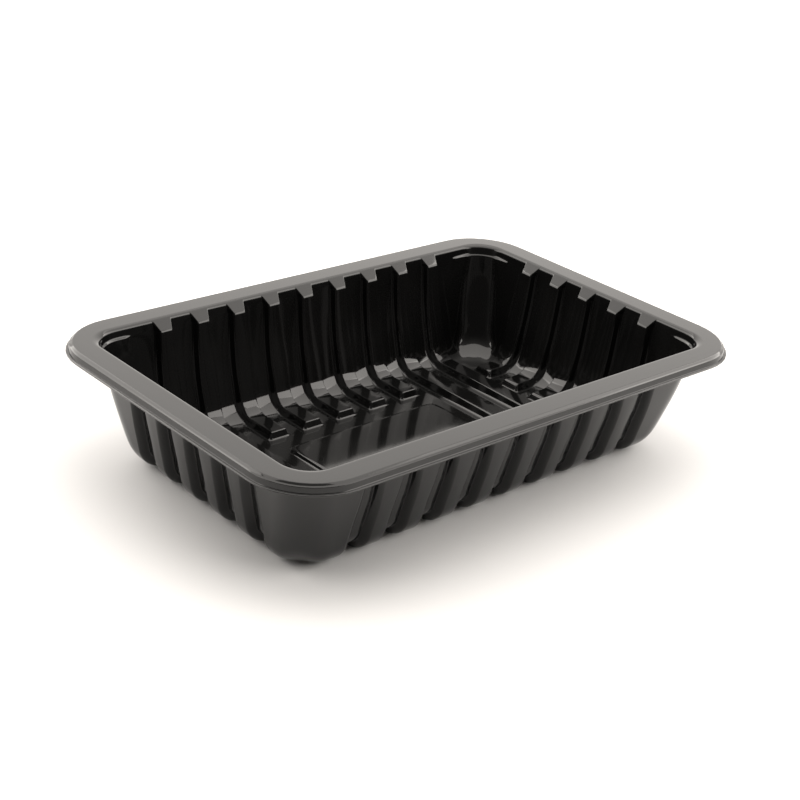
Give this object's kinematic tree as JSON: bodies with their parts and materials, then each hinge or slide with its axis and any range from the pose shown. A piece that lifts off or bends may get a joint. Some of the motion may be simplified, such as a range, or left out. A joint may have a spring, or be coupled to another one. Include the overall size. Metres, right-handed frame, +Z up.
{
  "type": "plastic food tray",
  "caption": "Black thermoformed food tray with ribbed, drafted walls, ribbed floor with a raised middle panel, wide flat rim with a turned-down lip.",
  "frame": {"origin": "middle of the underside, on the surface that the tray stands on", "axes": "+X along the tray's length, +Y across it, +Z up out of its open top"},
  "size_m": [0.2196, 0.1486, 0.0455],
  "materials": {
    "black_plastic": "glossy black thermoformed plastic sheet with a softly polished surface"
  },
  "bodies": {
    "root": {"tray": "black_plastic"}
  },
  "joints": []
}
